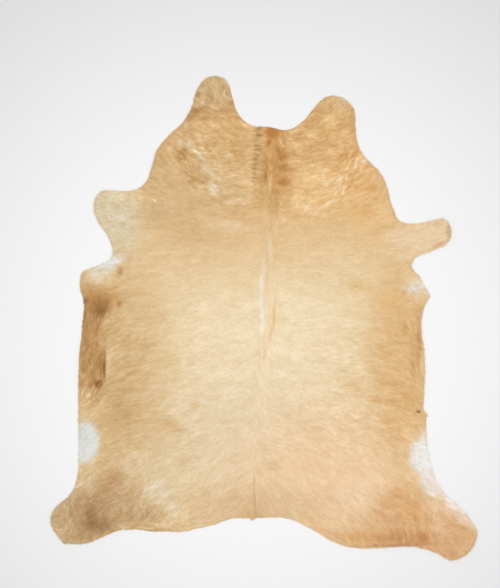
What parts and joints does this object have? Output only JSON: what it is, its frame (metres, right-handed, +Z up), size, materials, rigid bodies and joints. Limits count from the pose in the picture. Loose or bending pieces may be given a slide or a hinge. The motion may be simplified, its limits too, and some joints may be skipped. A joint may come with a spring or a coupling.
{
  "type": "hair-on cowhide rug",
  "caption": "Whole hair-on cowhide lying flat, hair side up, with cheeks, forelegs, flanks and hind legs in its cut outline.",
  "frame": {"origin": "centre of the hide's bounding box, on the floor it lies on", "axes": "+Y from tail to neck, +X to the right seen from above with the neck away, +Z up, hair side"},
  "size_m": [2.1212, 2.4084, 0.0169],
  "materials": {
    "hair_on_hide": "short, dense, flat-lying golden tan hair on tanned skin, with cream back and white flank patches"
  },
  "bodies": {
    "root": {"hide": "hair_on_hide"}
  },
  "joints": []
}
